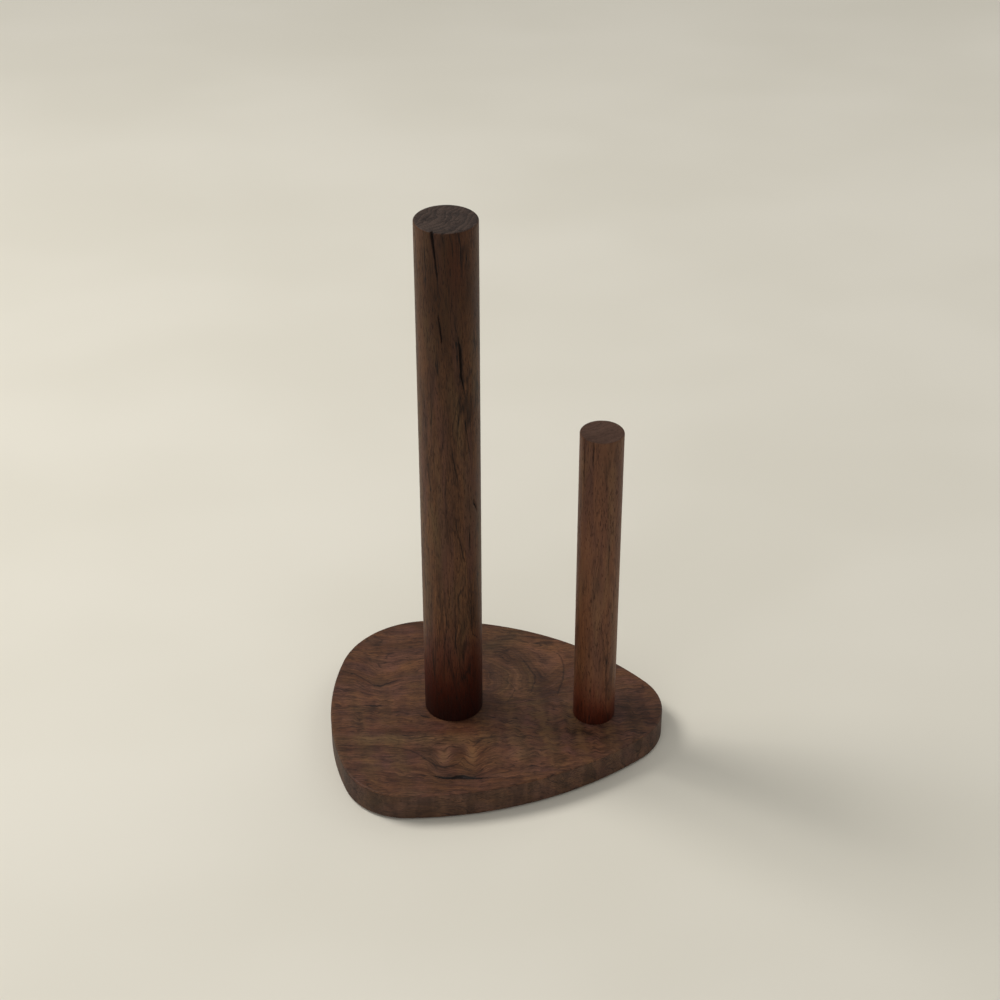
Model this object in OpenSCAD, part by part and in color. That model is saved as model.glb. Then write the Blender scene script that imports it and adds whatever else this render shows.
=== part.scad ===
// Paper towel holder that stands on a worktop. A three-cornered wooden base
// carries a tall post for the roll and a shorter post beside it. Each post is
// drawn down onto the base by a screw from below, which runs in a threaded
// insert in the post's end, and a small dowel stops the post from turning.
// Lengths are in millimetres and +Z is up. The origin is on the worktop, under
// the middle of the outline's box. +X runs from the tall post to the short one.

/* [Base] */
// Thickness of the wooden base
base_h = 16; // [14:0.5:24]
// Width of the small bevel round the base's top and bottom edges
base_bevel = 0.8; // [0.4:0.1:2]

/* [Outline, measured from the tall post's axis] */
// Centre of the narrow corner's arc, along X
narrow_x = 82; // [78:0.5:86]
// Centre of the narrow corner's arc, along Y
narrow_y = -2.5; // [-6:0.5:2]
// Radius of the narrow corner
narrow_r = 34.5; // [30:0.5:38]
// Centre of the back corner's arc, along X
back_x = -15; // [-19:0.5:-11]
// Centre of the back corner's arc, along Y
back_y = 26; // [22:0.5:30]
// Radius of the back corner
back_r = 51; // [46:0.5:54]
// Centre of the front corner's arc, along X
front_x = -24.5; // [-28:0.5:-20]
// Centre of the front corner's arc, along Y
front_y = -41.5; // [-45:0.5:-37]
// Radius of the front corner
front_r = 36; // [32:0.5:40]
// Radius of the long back side
back_side_r = 160; // [140:1:200]
// Radius of the left side
left_side_r = 152; // [130:1:190]
// Radius of the long front side
front_side_r = 199; // [170:1:240]

/* [Posts] */
// Diameter of the tall post, which the roll turns on
roll_post_d = 32; // [30:0.5:36]
// Height of the tall post above the base
roll_post_h = 300; // [240:1:340]
// Diameter of the short post
guide_post_d = 23; // [22:0.5:28]
// Height of the short post above the base
guide_post_h = 184; // [120:1:240]
// Distance between the two posts' axes along X
guide_post_x = 78; // [70:0.5:84]
// Distance between the two posts' axes along Y
guide_post_y = -7.5; // [-12:0.5:0]
// Radius that eases the edge of each post's top
post_edge = 1; // [0.3:0.1:2]

/* [Fixings] */
// Thread size of the tall post's screw
roll_screw_d = 6; // [5:0.5:6]
// Thread size of the short post's screw
guide_screw_d = 5; // [4:0.5:5]
// Length of both screws, head included
screw_l = 30; // [26:1:32]
// Outer diameter of the tall post's insert
roll_insert_d = 10; // [9:0.5:11]
// Outer diameter of the short post's insert
guide_insert_d = 8; // [7.5:0.5:9]
// Length of both inserts
insert_l = 13; // [10:1:13]
// Diameter of the tall post's dowel
roll_dowel_d = 6; // [4:0.5:6]
// Diameter of the short post's dowel
guide_dowel_d = 4; // [3:0.5:4]
// Length of both dowels, half of it in the base
dowel_l = 20; // [12:1:22]

/* [Feet] */
// Diameter of each rubber foot
foot_d = 14; // [10:0.5:18]
// Thickness of each rubber foot
foot_h = 2.5; // [2:0.1:4]
// How far each foot stands out below the base
foot_proud = 1; // [0.6:0.1:1.5]
// Distance from each foot's centre to the outline at its corner
foot_inset = 18; // [14:0.5:24]

/* [Hidden] */

$fn = 96;
walnut = [0.33, 0.22, 0.16];
beech = [0.80, 0.64, 0.45];
brass = [0.78, 0.62, 0.30];
steel = [0.62, 0.63, 0.65];
rubber = [0.10, 0.10, 0.11];

cut = 1;               // how far a cutter reaches past the face it opens
seam = 0.02;           // a long side stands this far inside its corners' arcs
far = 1.3;             // a wedge's reach as a multiple of its arc's radius
seat_gap = 0.3;        // play round a screw's shank and its head's rim
head_sink = 0.5;       // depth of a screw's head below the base's underside
head_land = 0.3;       // straight rim of a countersunk head
head_ratio = 2;        // a countersunk head's diameter over its thread size
pitch_ratio = 0.89;    // a thread's mean diameter over its thread size
key_less = 2;          // a screw's hex key is this much under its thread size
key_depth = 2.2;       // depth of the hex socket in a screw's head
drive_depth = 4;       // depth of the hex drive in an insert's mouth
lead = 0.8;            // chamfer on the ends of screws, inserts and dowels
insert_sink = 0.5;     // an insert's mouth is this far inside its post
insert_spare = 3.5;    // free depth of a post's bore past its insert
dowel_spare = 0.5;     // free depth of a dowel's hole past its end
foot_chamfer = 0.4;    // bevel round a foot's lower edge
foot_play = 0.2;       // play round a foot in its recess

corners = [[narrow_x, narrow_y], [back_x, back_y], [front_x, front_y]];
corner_r = [narrow_r, back_r, front_r];
side_r = [back_side_r, left_side_r, front_side_r];
base_top = foot_proud + base_h;

// The unit vector at an angle, and the angle of a vector.
function unit(a) = [cos(a), sin(a)];
function heading(v) = atan2(v[1], v[0]);
// The corner after corner i, going anticlockwise.
function after(i) = (i + 1) % len(corners);
// The angle from a to b, turning anticlockwise.
function turn(a, b) = ((b - a) % 360 + 360) % 360;

// Side i joins corner i to the next with one large arc, tangent to both. Its
// centre is as far from each corner's centre as the two radii differ.
function side_centre(i) =
  let (
    a = corners[i],
    v = corners[after(i)] - a,
    from_a = side_r[i] - corner_r[i],
    from_b = side_r[i] - corner_r[after(i)],
    along = (from_a^2 - from_b^2 + v * v) / (2 * norm(v)),
    across = sqrt(from_a^2 - along^2)
  )
  a + (along * v + across * [-v[1], v[0]]) / norm(v);

// The angles at which side i starts and ends, where it touches its corners.
function side_start(i) = heading(corners[i] - side_centre(i));
function side_end(i) = heading(corners[after(i)] - side_centre(i));

// How far the outline reaches in the direction at angle a.
function side_holds(i, a) = turn(side_start(i), a) <= turn(side_start(i), side_end(i));
function reach(a) = max([
  for (i = [0:len(corners) - 1])
    side_holds(i, a)
      ? side_centre(i) * unit(a) + side_r[i] - seam
      : corners[i] * unit(a) + corner_r[i]
]);

// The tall post's axis stands at roll_at, which puts the middle of the
// outline's box over the origin.
roll_at = [reach(180) - reach(0), reach(270) - reach(90)] / 2;
guide_at = roll_at + [guide_post_x, guide_post_y];
between = unit(heading(guide_at - roll_at));
roll_dowel_at = roll_at + between * (roll_post_d / 2 + roll_insert_d / 2) / 2;
guide_dowel_at = guide_at - between * (guide_post_d / 2 + guide_insert_d / 2) / 2;

// A foot's place, on the line from the corners' mean point through corner i.
corners_mean = (corners[0] + corners[1] + corners[2]) / len(corners);
function foot_at(i) =
  roll_at + corners[i] + unit(heading(corners[i] - corners_mean)) * (corner_r[i] - foot_inset);

// A round plate as thick as the base, with a bevel round both of its edges.
module bevelled_plate(r) {
  inner = r - base_bevel;
  rotate_extrude()
    polygon([
      [0, 0], [inner, 0], [r, base_bevel],
      [r, base_h - base_bevel], [inner, base_h], [0, base_h],
    ]);
}

// The part of a large round plate that side i belongs to. It stands a seam's
// width inside its corners' plates, so that their edges cross and don't graze.
module side_piece(i) {
  c = side_centre(i);
  l = side_r[i] * far;
  intersection() {
    translate(c)
      bevelled_plate(side_r[i] - seam);
    translate([0, 0, -cut])
      linear_extrude(base_h + 2 * cut)
        polygon([corners[i], c + l * unit(side_start(i)), c + l * unit(side_end(i)), corners[after(i)]]);
  }
}

// The base before it is drilled, lying on z = 0 about the tall post's axis.
module base_blank() {
  linear_extrude(base_h)
    polygon(corners);
  for (i = [0:len(corners) - 1]) {
    translate(corners[i])
      bevelled_plate(corner_r[i]);
    side_piece(i);
  }
}

// The hole that a countersunk screw needs, open below at z = 0.
module screw_seat(d) {
  shank_r = d / 2;
  head_r = head_ratio * shank_r;
  mouth = foot_proud + head_sink + head_land;
  translate([0, 0, foot_proud - cut])
    cylinder(r = head_r + seat_gap, h = mouth - foot_proud + cut);
  translate([0, 0, mouth])
    cylinder(r1 = head_r, r2 = shank_r, h = head_r - shank_r);
  translate([0, 0, mouth])
    cylinder(r = shank_r + seat_gap, h = base_top + cut - mouth);
}

// A countersunk screw with its head down, in place above z = 0.
module screw(d) {
  shank_r = d / 2;
  thread_r = pitch_ratio * shank_r;
  head_r = head_ratio * shank_r;
  low = foot_proud + head_sink;
  seat = low + head_land;
  top = low + screw_l;
  key_r = (d - key_less) / 2 / cos(30);
  difference() {
    rotate_extrude()
      polygon([
        [0, low], [head_r, low], [head_r, seat], [shank_r, seat + head_r - shank_r],
        [shank_r, base_top], [thread_r, base_top], [thread_r, top - lead],
        [thread_r - lead, top], [0, top],
      ]);
    translate([0, 0, low - cut])
      cylinder(r = key_r, h = key_depth + cut, $fn = 6);
  }
}

// A threaded insert, in place above the base.
module insert(outer_d, screw_d) {
  low = base_top + insert_sink;
  bore_r = pitch_ratio * screw_d / 2;
  difference() {
    rotate_extrude()
      polygon([
        [bore_r, low], [outer_d / 2, low], [outer_d / 2, low + insert_l - lead],
        [outer_d / 2 - lead, low + insert_l], [bore_r, low + insert_l],
      ]);
    translate([0, 0, low - cut])
      cylinder(r = screw_d / 2 / cos(30), h = drive_depth + cut, $fn = 6);
  }
}

// A wooden dowel, half of it below the base's top face.
module dowel(d) {
  half = dowel_l / 2;
  translate([0, 0, base_top])
    rotate_extrude()
      polygon([
        [0, -half], [d / 2 - lead, -half], [d / 2, lead - half],
        [d / 2, half - lead], [d / 2 - lead, half], [0, half],
      ]);
}

// The blind hole for one half of a dowel, above or below the base's top face.
module dowel_hole(d, up) {
  depth = dowel_l / 2 + dowel_spare;
  translate([0, 0, up ? base_top - cut : base_top - depth])
    cylinder(d = d, h = depth + cut);
}

// A post with its top edge eased, standing on the base's top face.
module post_blank(d, h) {
  r = d / 2;
  e = post_edge;
  translate([0, 0, base_top])
    rotate_extrude()
      union() {
        square([r, h - e]);
        square([r - e, h]);
        translate([r - e, h - e])
          intersection() {
            circle(e);
            square([e, e]);
          }
      }
}

// A post at a place, bored in its lower end for its insert and its dowel.
module post(at, d, h, insert_d, dowel_d, dowel_at) {
  difference() {
    translate(at)
      post_blank(d, h);
    translate([at[0], at[1], base_top - cut])
      cylinder(d = insert_d, h = insert_sink + insert_l + insert_spare + cut);
    translate(dowel_at)
      dowel_hole(dowel_d, true);
  }
}

// A rubber foot under corner i.
module foot(i) {
  r = foot_d / 2;
  translate(foot_at(i))
    rotate_extrude()
      polygon([[0, 0], [r - foot_chamfer, 0], [r, foot_chamfer], [r, foot_h], [0, foot_h]]);
}

module base() {
  color(walnut)
    difference() {
      translate([roll_at[0], roll_at[1], foot_proud])
        base_blank();
      translate(roll_at)
        screw_seat(roll_screw_d);
      translate(guide_at)
        screw_seat(guide_screw_d);
      translate(roll_dowel_at)
        dowel_hole(roll_dowel_d, false);
      translate(guide_dowel_at)
        dowel_hole(guide_dowel_d, false);
      for (i = [0:len(corners) - 1])
        translate(foot_at(i))
          cylinder(d = foot_d + 2 * foot_play, h = foot_h);
    }
}

module roll_post() {
  color(walnut)
    post(roll_at, roll_post_d, roll_post_h, roll_insert_d, roll_dowel_d, roll_dowel_at);
}

module guide_post() {
  color(walnut)
    post(guide_at, guide_post_d, guide_post_h, guide_insert_d, guide_dowel_d, guide_dowel_at);
}

module roll_post_insert() {
  color(brass)
    translate(roll_at)
      insert(roll_insert_d, roll_screw_d);
}

module guide_post_insert() {
  color(brass)
    translate(guide_at)
      insert(guide_insert_d, guide_screw_d);
}

module roll_post_screw() {
  color(steel)
    translate(roll_at)
      screw(roll_screw_d);
}

module guide_post_screw() {
  color(steel)
    translate(guide_at)
      screw(guide_screw_d);
}

module roll_post_dowel() {
  color(beech)
    translate(roll_dowel_at)
      dowel(roll_dowel_d);
}

module guide_post_dowel() {
  color(beech)
    translate(guide_dowel_at)
      dowel(guide_dowel_d);
}

module foot_narrow() {
  color(rubber)
    foot(0);
}

module foot_back() {
  color(rubber)
    foot(1);
}

module foot_front() {
  color(rubber)
    foot(2);
}

base();
roll_post();
guide_post();
roll_post_insert();
guide_post_insert();
roll_post_screw();
guide_post_screw();
roll_post_dowel();
guide_post_dowel();
foot_narrow();
foot_back();
foot_front();
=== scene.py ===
"""Paper towel holder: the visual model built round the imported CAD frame.

Lengths in the mesh code are in metres and in the frame's axes. Wood figure is laid out in millimetres
from the foot of a post, because that is how the pieces are drawn and measured.
"""

import math
from collections import Counter
from types import SimpleNamespace

import bmesh
import bpy
import numpy as np
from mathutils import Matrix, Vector
from mathutils.geometry import convex_hull_2d, delaunay_2d_cdt


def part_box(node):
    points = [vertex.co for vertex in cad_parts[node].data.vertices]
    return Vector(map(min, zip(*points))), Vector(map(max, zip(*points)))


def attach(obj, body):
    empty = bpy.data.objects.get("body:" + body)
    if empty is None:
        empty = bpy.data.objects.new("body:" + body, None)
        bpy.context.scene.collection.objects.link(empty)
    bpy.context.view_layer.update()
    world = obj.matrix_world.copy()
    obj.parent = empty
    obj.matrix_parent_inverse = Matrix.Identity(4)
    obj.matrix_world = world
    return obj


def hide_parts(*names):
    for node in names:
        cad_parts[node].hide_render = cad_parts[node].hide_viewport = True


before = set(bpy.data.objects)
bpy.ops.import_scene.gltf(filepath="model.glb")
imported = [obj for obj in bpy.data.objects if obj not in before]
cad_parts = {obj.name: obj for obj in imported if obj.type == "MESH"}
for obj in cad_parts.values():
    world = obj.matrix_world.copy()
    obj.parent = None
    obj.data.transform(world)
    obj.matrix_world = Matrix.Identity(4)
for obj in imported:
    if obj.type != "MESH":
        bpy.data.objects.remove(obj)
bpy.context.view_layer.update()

MM = 0.001
TURN = 2 * math.pi
FRONT = -math.pi / 2
SHARP_EDGE = math.radians(32)
HOLE_COLUMNS = 48
ROUND_COLUMNS = 72


# ---- places taken from the frame


def centre(node):
    low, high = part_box(node)
    return (low + high) / 2


def radius(node):
    low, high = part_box(node)
    return (high.x - low.x) / 2


BASE_LOW, BASE_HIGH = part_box("base")
BASE_TOP = BASE_HIGH.z
ROLL = centre("roll_post")
FEET = ("foot_narrow", "foot_back", "foot_front")


# ---- mesh building


def inside_only(triangles, rings):
    """Leaves out the triangles that lie outside the rings, working inwards from open sides."""
    while True:
        sides = [[frozenset(pair) for pair in zip(t, t[1:] + t[:1])] for t in triangles]
        uses = Counter(side for three in sides for side in three)
        kept = [t for t, three in zip(triangles, sides) if all(uses[s] > 1 or s in rings for s in three)]
        if len(kept) == len(triangles):
            return kept
        triangles = kept


class Shell:
    """Gathers grids and level faces into one closed surface."""

    def __init__(self):
        self.points = []
        self.faces = []

    def take(self, points, faces):
        start = len(self.points)
        self.points += [tuple(p) for p in points]
        self.faces += [[start + i for i in face] for face in faces]

    def skin(self, rows, closed=False):
        """Quads between neighbouring rows of a (row, column, 3) grid whose columns go right round."""
        count, columns = rows.shape[:2]
        index = np.arange(count * columns).reshape(count, columns)
        upper = index if closed else index[:-1]
        lower = np.roll(index, -1, axis=0) if closed else index[1:]
        quads = [upper, lower, np.roll(lower, -1, axis=1), np.roll(upper, -1, axis=1)]
        self.take(rows.reshape(-1, 3).tolist(), np.stack(quads, -1).reshape(-1, 4).tolist())

    def level(self, outer, holes=()):
        """Fills a level ring of points, apart from the round holes given as rings of points inside it."""
        z = outer[0][2]
        points, edges = [], []
        for ring in (outer, *holes):
            start, count = len(points), len(ring)
            points += [Vector(p[:2]) for p in ring]
            edges += [(start + i, start + (i + 1) % count) for i in range(count)]
        spots, sides, triangles, _, drawn, _ = delaunay_2d_cdt(points, edges, [], 0, 1e-9, True)
        rings = {frozenset(side) for side, origin in zip(sides, drawn) if origin}
        rounds = []
        for ring in holes:
            middle = np.mean(ring, 0)[:2]
            rounds.append((Vector(middle), math.dist(ring[0][:2], middle)))
        kept = []
        for t in triangles:
            middle = sum((spots[i] for i in t), Vector((0, 0))) / 3
            if all((middle - c).length > r for c, r in rounds):
                kept.append(list(t))
        self.take([(p.x, p.y, z) for p in spots], inside_only(kept, rings))

    def make(self, name):
        """A smooth shaded object whose sharp edges stay sharp."""
        mesh = bpy.data.meshes.new(name)
        mesh.from_pydata(self.points, [], self.faces)
        welded = bmesh.new()
        welded.from_mesh(mesh)
        bmesh.ops.remove_doubles(welded, verts=welded.verts, dist=1e-6)
        bmesh.ops.recalc_face_normals(welded, faces=welded.faces)
        welded.to_mesh(mesh)
        welded.free()
        mesh.shade_smooth()
        mesh.set_sharp_from_angle(angle=SHARP_EDGE)
        piece = bpy.data.objects.new(name, mesh)
        bpy.context.scene.collection.objects.link(piece)
        return piece


def solid(name, rows):
    """A closed piece from a grid whose first and last rows, each level, are filled in."""
    shell = Shell()
    shell.skin(rows)
    shell.level(rows[0])
    shell.level(rows[-1])
    return shell.make(name)


def lathe(profile, angles, axis):
    """A grid of points round a vertical axis, from rows of (radius, height), each a number or an array."""
    rows = np.zeros((len(profile), len(angles), 3))
    for row, (r, z) in zip(rows, profile):
        row[:, 0] = axis.x + r * np.cos(angles)
        row[:, 1] = axis.y + r * np.sin(angles)
        row[:, 2] = z
    return rows


def even_angles(count):
    return np.arange(count) * TURN / count


def arc(steps, start, end):
    """Angles in radians from start to end, in degrees, both included."""
    return np.radians(np.linspace(start, end, steps))


def hexagon(angles, across_flats):
    """The distance from the axis to a hexagon's side at each angle."""
    return across_flats / 2 / np.cos((angles % (TURN / 6)) - TURN / 12)


def thread(angles, z, low, high, pitch, start, end):
    """The radius of a V thread between two radii, which fades out at its first and last turn."""
    wave = np.abs(2 * ((z / pitch - angles / TURN) % 1) - 1)
    fade = np.clip(min(z - start, end - z) / pitch, 0, 1)
    return low + (high - low) * wave * fade


def hole(shell, axis, profile, open_end=False):
    """A round hole's inside, from (radius, height) rows. Returns its first row, where it meets a face."""
    rows = lathe(profile, even_angles(HOLE_COLUMNS), axis)
    shell.skin(rows)
    if not open_end:
        shell.level(rows[-1])
    return rows


def unrolled(knots, size):
    """Knots given in degrees round from a post's front, in millimetres round it. Size is its radius."""
    return [(k[0], math.radians(k[1]) * size, k[2]) for k in knots]


# ---- materials: the node graph helper


class Field:
    """A number that varies over a surface: one output of a shader node, with the usual arithmetic."""

    def __init__(self, graph, socket):
        self.graph = graph
        self.socket = socket

    def __add__(self, other):
        return self.graph.math("ADD", self, other)

    def __sub__(self, other):
        return self.graph.math("SUBTRACT", self, other)

    def __rsub__(self, other):
        return self.graph.math("SUBTRACT", other, self)

    def __mul__(self, other):
        return self.graph.math("MULTIPLY", self, other)

    def __truediv__(self, other):
        return self.graph.math("DIVIDE", self, other)

    __radd__ = __add__
    __rmul__ = __mul__


class Graph:
    """A material and short ways to add nodes to it."""

    def __init__(self, name):
        self.material = bpy.data.materials.new(name)
        self.material.use_nodes = True
        self.tree = self.material.node_tree
        self.shader = self.tree.nodes["Principled BSDF"]

    def plug(self, socket, value):
        if isinstance(value, Field):
            self.tree.links.new(value.socket, socket)
        else:
            socket.default_value = value

    def node(self, kind, **settings):
        made = self.tree.nodes.new(kind)
        for key, value in settings.items():
            setattr(made, key, value)
        return made

    def math(self, operation, *values):
        made = self.node("ShaderNodeMath", operation=operation)
        for socket, value in zip(made.inputs, values):
            self.plug(socket, value)
        return Field(self, made.outputs[0])

    def ramp(self, value, low, high, out_low=0.0, out_high=1.0):
        """Goes smoothly from out_low to out_high as value goes from low to high."""
        made = self.node("ShaderNodeMapRange", interpolation_type="SMOOTHSTEP", clamp=True)
        for socket, number in zip(made.inputs, (value, low, high, out_low, out_high)):
            self.plug(socket, number)
        return Field(self, made.outputs[0])

    def place(self, origin):
        """The three coordinates in millimetres from origin."""
        source = self.node("ShaderNodeTexCoord")
        split = self.node("ShaderNodeSeparateXYZ")
        self.tree.links.new(source.outputs["Object"], split.inputs[0])
        return [
            self.math("MULTIPLY_ADD", Field(self, split.outputs[i]), 1 / MM, -origin[i] / MM)
            for i in range(3)
        ]

    def vector(self, x, y, z):
        made = self.node("ShaderNodeCombineXYZ")
        for socket, value in zip(made.inputs, (x, y, z)):
            self.plug(socket, value)
        return Field(self, made.outputs[0])

    def noise(self, vector, detail=2.0, roughness=0.5, seed=0.0):
        """Noise from 0 to 1 whose cells are about one unit across."""
        made = self.node("ShaderNodeTexNoise", noise_dimensions="4D")
        self.plug(made.inputs["Vector"], vector)
        self.plug(made.inputs["W"], seed)
        self.plug(made.inputs["Scale"], 1.0)
        self.plug(made.inputs["Detail"], detail)
        self.plug(made.inputs["Roughness"], roughness)
        return Field(self, made.outputs["Fac"])

    def grain(self, at, size, detail=2.0, roughness=0.5, seed=0.0):
        """Noise read at three coordinates, whose cells are as long along each as size says."""
        vector = self.vector(*(place / span for place, span in zip(at, size)))
        return self.noise(vector, detail, roughness, seed)

    def curve(self, value, knots, column):
        """A value read off straight lines between knots. Column 0 of a knot is the place along."""
        places = [k[0] for k in knots]
        heights = [k[column] for k in knots]
        low, high = min(heights), max(heights)
        span = (high - low) or 1.0
        length = places[-1] - places[0]
        along = self.math("MULTIPLY_ADD", value, 1 / length, -places[0] / length)
        made = self.node("ShaderNodeFloatCurve")
        line = made.mapping.curves[0]
        line.points[0].location = (0, (heights[0] - low) / span)
        line.points[1].location = (1, (heights[-1] - low) / span)
        for place, height in list(zip(places, heights))[1:-1]:
            line.points.new((place - places[0]) / length, (height - low) / span)
        for point in line.points:
            point.handle_type = "VECTOR"
        made.mapping.extend = "HORIZONTAL"
        made.mapping.update()
        self.plug(made.inputs["Value"], along)
        return self.math("MULTIPLY_ADD", Field(self, made.outputs[0]), span, low)

    def track(self, along, across, knots, softness):
        """1 on a line whose knots are (place along, place across, half width), 0 off it."""
        middle = self.curve(along, knots, 1)
        half_width = self.curve(along, knots, 2)
        gap = half_width - self.math("ABSOLUTE", across - middle)
        return self.ramp(gap, -softness / 4, softness)

    def hill(self, x, y, at, size, turn=0.0):
        """A bump of height 1 at a point, size being how far it reaches along and across its own axis."""
        c, s = math.cos(math.radians(turn)), math.sin(math.radians(turn))
        u = (x - at[0]) * (c / size[0]) + (y - at[1]) * (s / size[0])
        v = (y - at[1]) * (c / size[1]) - (x - at[0]) * (s / size[1])
        return self.math("EXPONENT", (u * u + v * v) * -0.5)

    def mix(self, amount, first, second):
        made = self.node("ShaderNodeMix", data_type="RGBA")
        self.plug(made.inputs[0], amount)
        for socket, value in ((made.inputs[6], first), (made.inputs[7], second)):
            self.plug(socket, value if isinstance(value, Field) else (*value, 1.0))
        return Field(self, made.outputs[2])

    def tint(self, colour, amount, most, hue):
        """Mixes a hue into a colour, up to the share given as most."""
        return self.mix(self.math("MINIMUM", amount, most), colour, hue)

    def scale(self, colour, factor):
        """A colour times a number."""
        made = self.node("ShaderNodeVectorMath", operation="SCALE")
        self.plug(made.inputs[0], colour)
        self.plug(made.inputs["Scale"], factor)
        return Field(self, made.outputs[0])

    def gradient(self, value, stops):
        """Colours read off stops of (place, colour)."""
        made = self.node("ShaderNodeValToRGB")
        line = made.color_ramp
        line.elements[0].position, line.elements[-1].position = stops[0][0], stops[-1][0]
        line.elements[0].color = (*stops[0][1], 1)
        line.elements[-1].color = (*stops[-1][1], 1)
        for place, colour in stops[1:-1]:
            line.elements.new(place).color = (*colour, 1)
        self.plug(made.inputs[0], value)
        return Field(self, made.outputs[0])

    def bump(self, height, distance, strength):
        made = self.node("ShaderNodeBump")
        made.inputs["Strength"].default_value = strength
        made.inputs["Distance"].default_value = distance
        self.plug(made.inputs["Height"], height)
        return Field(self, made.outputs[0])

    def areas(self, x, y, spots):
        """The sum of soft spots given as (middle, reach along and across, turn in degrees, height)."""
        hills = [self.hill(x, y, at, size, turn) * height for at, size, turn, height in spots]
        return sum(hills[1:], hills[0])

    def facing(self, axis):
        """How squarely the surface faces along one axis, from 0 to 1."""
        source = self.node("ShaderNodeTexCoord")
        split = self.node("ShaderNodeSeparateXYZ")
        self.tree.links.new(source.outputs["Normal"], split.inputs[0])
        return self.math("ABSOLUTE", Field(self, split.outputs[axis]))

    def finish(self, **sockets):
        for name, value in sockets.items():
            self.plug(self.shader.inputs[name.replace("_", " ")], value)
        return self.material


# ---- walnut

DARK = (0.0150, 0.0048, 0.0020)
BROWN = (0.0540, 0.0202, 0.0090)
TAN = (0.1020, 0.0415, 0.0175)
HONEY = (0.2000, 0.0830, 0.0310)
RED = (0.0800, 0.0190, 0.0075)
OLIVE = (0.0840, 0.0480, 0.0210)
PINK = (0.0830, 0.0350, 0.0262)
PORE = (0.0190, 0.0062, 0.0028)
INK = (0.0060, 0.0028, 0.0022)
# Painted reddish bounce light at the posts' feet, as if reflected from the board below
PAINTED_FOOT_RED = (0.0900, 0.0105, 0.0030)
UMBER = (0.0400, 0.0135, 0.0035)
WARM = (0.1150, 0.0400, 0.0130)
SIDE_GREY = (0.064, 0.042, 0.031)
END_BROWN = (0.130, 0.062, 0.038)
WALNUT = [(0.0, DARK), (0.36, BROWN), (0.62, TAN), (1.0, HONEY)]
END_GRAIN = [(0.0, (0.010, 0.0075, 0.0068)), (0.5, (0.040, 0.0265, 0.0210)), (1.0, (0.100, 0.066, 0.050))]

# The wood's small detail, in millimetres: the length along the grain, then the width across it
FIBRE = (13, 0.8, 0.8)
SPECKLE = (2.2, 0.5, 0.5)
TICK = (3.6, 0.46, 0.46)
HAIR = (26.0, 4.2)
FINE_HAIR = (15.0, 1.6)
RING_SPACING = 7.0
FINE_RING_SPACING = 2.4
END_RING_SPACING = 3.2
BUMP_HEIGHT = 0.11 * MM


def growth(g, layer, spacing, seed):
    """Growth rings from a field of layers: 0 to 1 across each ring, uneven in width."""
    uneven = g.noise(g.vector(layer / (spacing * 2.2), seed, 0.0), 1.0)
    return g.math("FRACT", layer / spacing + uneven * 2.4)


def late_wood(g, ring, width):
    """1 on the dark line that ends each ring."""
    return g.ramp(ring, 1 - width, 1.0) * g.ramp(ring, 0.0, width * 0.25, 1.0, 0.0)


def hairlines(g, along, a, b, length, width, seed, fineness):
    """Long thin lines that wander along the grain: where a stretched noise crosses its middle."""
    wave = g.grain((along, a, b), (length, width, width), 2.0, 0.5, seed)
    line = g.ramp(g.math("ABSOLUTE", wave - 0.5), 0.0, fineness, 1.0, 0.0)
    fading = g.grain((along, a, b), (length * 0.6, width * 2, width * 2), 1.0, seed=seed + 0.5)
    return line * g.ramp(fading, 0.44, 0.62)


class Figure:
    """The small scale of walnut: fibres, speckle, pores, hairlines and growth rings.

    along runs with the grain, a and b across it, and layer counts millimetres across the growth rings.
    straight, 1 or more, draws the hairlines out along the grain."""

    def __init__(self, g, along, a, b, layer, seed, straight=1.0):
        self.fibre = g.grain((along, a, b), FIBRE, 4.0, 0.6, seed)
        self.speckle = g.grain((along, a, b), SPECKLE, 2.0, 0.7, seed + 1)
        crowd = g.grain((along, layer, b), (40, 3.5, 14), 2.0, seed=seed + 8)
        ticks = g.grain((along, a, b), TICK, 1.0, seed=seed + 2)
        self.pores = g.ramp(ticks + (crowd - 0.5) * 0.18, 0.57, 0.66)
        self.cloud = g.grain((along, layer, b), (42, 11, 16), 3.0, 0.55, seed=seed + 3)

        ring = growth(g, layer, RING_SPACING, seed)
        fine = growth(g, layer, FINE_RING_SPACING, seed + 4)
        some = g.ramp(g.grain((along, layer, b), (18, 6, 9), 1.0, seed=seed + 5), 0.42, 0.62)
        length, width = HAIR[0] * straight, HAIR[1] / straight
        hair = hairlines(g, along, layer, b * 0.5, length, width, seed + 6, 0.030 * straight)
        length, width = FINE_HAIR[0] * straight, FINE_HAIR[1]
        fine_hair = hairlines(g, along, a, b, length, width, seed + 7, 0.045)
        self.lines = late_wood(g, ring, 0.12) * some * 0.62 + late_wood(g, fine, 0.2) * 0.10
        self.lines = self.lines + hair * 0.62 + fine_hair * 0.48

        self.shade = 0.53 + (self.cloud - 0.5) * 0.75 + (self.fibre - 0.5) * 0.95
        self.shade = self.shade + (self.speckle - 0.5) * 0.5
        self.shade = self.shade + (ring - 0.5) * -0.14 + (fine - 0.5) * -0.09

    def surface(self, g, colour, ink, end, shine):
        """Puts the dark lines and pores on the colour and gives the wood its satin, open surface."""
        colour = g.tint(colour, ink, 0.97, INK)
        colour = g.mix(self.pores * 0.62, colour, PORE)
        rough = 0.50 + (self.fibre - 0.5) * 0.22 + self.pores * 0.12 + end * 0.12
        height = self.fibre * 0.5 + self.speckle * 0.25 - self.pores * 0.45 - ink * 0.35
        normal = g.bump(height, BUMP_HEIGHT, 0.9)
        return g.finish(Base_Color=colour, Roughness=rough, Normal=normal, IOR=1.48,
                        Specular_IOR_Level=shine)


# ---- the board's walnut

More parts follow.
